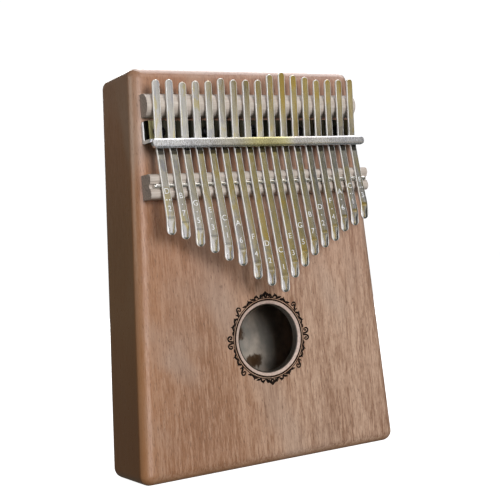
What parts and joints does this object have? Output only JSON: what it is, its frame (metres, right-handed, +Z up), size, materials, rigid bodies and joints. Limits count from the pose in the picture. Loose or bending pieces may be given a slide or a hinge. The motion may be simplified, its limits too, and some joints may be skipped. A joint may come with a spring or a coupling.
{
  "type": "mbira",
  "caption": "Box kalimba, a modern mbira: hollow tapered wooden box with a sound hole and spring-steel tines held over two bars by a bent bracket.",
  "frame": {"origin": "middle of the flat lower end that the box stands on, half way through its depth", "axes": "+Z up from the lower end to the tuning ends of the tines; -Y out of the soundboard, towards the player; +X to the player's right"},
  "size_m": [0.1374, 0.057, 0.185],
  "materials": {
    "body_wood": "satin-lacquered reddish brown mahogany-like wood with fine vertical grain",
    "block_wood": "raw sawn hardwood, hidden inside",
    "bar_wood": "pale beech-like wood, lightly oiled",
    "tine_steel": "bright nickel-plated spring steel, lightly brushed lengthwise",
    "rod_steel": "polished steel rod",
    "bracket_steel": "mirror-plated bent steel",
    "screw_black": "black-oxide steel pan-head screws"
  },
  "bodies": {
    "box": {"soundboard": "body_wood", "back_panel": "body_wood", "left_side": "body_wood", "right_side": "body_wood", "lower_rail": "body_wood", "upper_rail": "body_wood", "bridge_block": "block_wood", "rear_bar": "bar_wood", "front_bar": "bar_wood", "saddle_rod": "rod_steel", "tine_bracket": "bracket_steel", "bracket_screws": "screw_black"},
    "tine_01": {"tine_01": "tine_steel"},
    "tine_02": {"tine_02": "tine_steel"},
    "tine_03": {"tine_03": "tine_steel"},
    "tine_04": {"tine_04": "tine_steel"},
    "tine_05": {"tine_05": "tine_steel"},
    "tine_06": {"tine_06": "tine_steel"},
    "tine_07": {"tine_07": "tine_steel"},
    "tine_08": {"tine_08": "tine_steel"},
    "tine_09": {"tine_09": "tine_steel"},
    "tine_10": {"tine_10": "tine_steel"},
    "tine_11": {"tine_11": "tine_steel"},
    "tine_12": {"tine_12": "tine_steel"},
    "tine_13": {"tine_13": "tine_steel"},
    "tine_14": {"tine_14": "tine_steel"},
    "tine_15": {"tine_15": "tine_steel"},
    "tine_16": {"tine_16": "tine_steel"},
    "tine_17": {"tine_17": "tine_steel"}
  },
  "joints": [
    {"name": "pluck_01", "type": "hinge", "parent": "box", "child": "tine_01", "pos_m": [-0.052, -0.02858, 0.13111], "axis": [1, 0, 0], "range_deg": [-0.8, 0.8], "stiffness_Nm_per_rad": 9.05},
    {"name": "pluck_02", "type": "hinge", "parent": "box", "child": "tine_02", "pos_m": [-0.0455, -0.02858, 0.13111], "axis": [1, 0, 0], "range_deg": [-0.8, 0.8], "stiffness_Nm_per_rad": 8.2},
    {"name": "pluck_03", "type": "hinge", "parent": "box", "child": "tine_03", "pos_m": [-0.039, -0.02858, 0.13111], "axis": [1, 0, 0], "range_deg": [-0.8, 0.8], "stiffness_Nm_per_rad": 7.14},
    {"name": "pluck_04", "type": "hinge", "parent": "box", "child": "tine_04", "pos_m": [-0.0325, -0.02858, 0.13111], "axis": [1, 0, 0], "range_deg": [-0.8, 0.8], "stiffness_Nm_per_rad": 6.37},
    {"name": "pluck_05", "type": "hinge", "parent": "box", "child": "tine_05", "pos_m": [-0.026, -0.02858, 0.13111], "axis": [1, 0, 0], "range_deg": [-0.8, 0.8], "stiffness_Nm_per_rad": 5.67},
    {"name": "pluck_06", "type": "hinge", "parent": "box", "child": "tine_06", "pos_m": [-0.0195, -0.02858, 0.13111], "axis": [1, 0, 0], "range_deg": [-0.8, 0.8], "stiffness_Nm_per_rad": 5.26},
    {"name": "pluck_07", "type": "hinge", "parent": "box", "child": "tine_07", "pos_m": [-0.013, -0.02858, 0.13111], "axis": [1, 0, 0], "range_deg": [-0.8, 0.8], "stiffness_Nm_per_rad": 4.48},
    {"name": "pluck_08", "type": "hinge", "parent": "box", "child": "tine_08", "pos_m": [-0.0065, -0.02858, 0.13111], "axis": [1, 0, 0], "range_deg": [-0.8, 0.8], "stiffness_Nm_per_rad": 4.16},
    {"name": "pluck_09", "type": "hinge", "parent": "box", "child": "tine_09", "pos_m": [0, -0.02858, 0.13111], "axis": [1, 0, 0], "range_deg": [-0.8, 0.8], "stiffness_Nm_per_rad": 3.88},
    {"name": "pluck_10", "type": "hinge", "parent": "box", "child": "tine_10", "pos_m": [0.0065, -0.02858, 0.13111], "axis": [1, 0, 0], "range_deg": [-0.8, 0.8], "stiffness_Nm_per_rad": 4.41},
    {"name": "pluck_11", "type": "hinge", "parent": "box", "child": "tine_11", "pos_m": [0.013, -0.02858, 0.13111], "axis": [1, 0, 0], "range_deg": [-0.8, 0.8], "stiffness_Nm_per_rad": 4.9},
    {"name": "pluck_12", "type": "hinge", "parent": "box", "child": "tine_12", "pos_m": [0.0195, -0.02858, 0.13111], "axis": [1, 0, 0], "range_deg": [-0.8, 0.8], "stiffness_Nm_per_rad": 5.56},
    {"name": "pluck_13", "type": "hinge", "parent": "box", "child": "tine_13", "pos_m": [0.026, -0.02858, 0.13111], "axis": [1, 0, 0], "range_deg": [-0.8, 0.8], "stiffness_Nm_per_rad": 6.12},
    {"name": "pluck_14", "type": "hinge", "parent": "box", "child": "tine_14", "pos_m": [0.0325, -0.02858, 0.13111], "axis": [1, 0, 0], "range_deg": [-0.8, 0.8], "stiffness_Nm_per_rad": 6.67},
    {"name": "pluck_15", "type": "hinge", "parent": "box", "child": "tine_15", "pos_m": [0.039, -0.02858, 0.13111], "axis": [1, 0, 0], "range_deg": [-0.8, 0.8], "stiffness_Nm_per_rad": 7.75},
    {"name": "pluck_16", "type": "hinge", "parent": "box", "child": "tine_16", "pos_m": [0.0455, -0.02858, 0.13111], "axis": [1, 0, 0], "range_deg": [-0.8, 0.8], "stiffness_Nm_per_rad": 8.62},
    {"name": "pluck_17", "type": "hinge", "parent": "box", "child": "tine_17", "pos_m": [0.052, -0.02858, 0.13111], "axis": [1, 0, 0], "range_deg": [-0.8, 0.8], "stiffness_Nm_per_rad": 9.85}
  ]
}
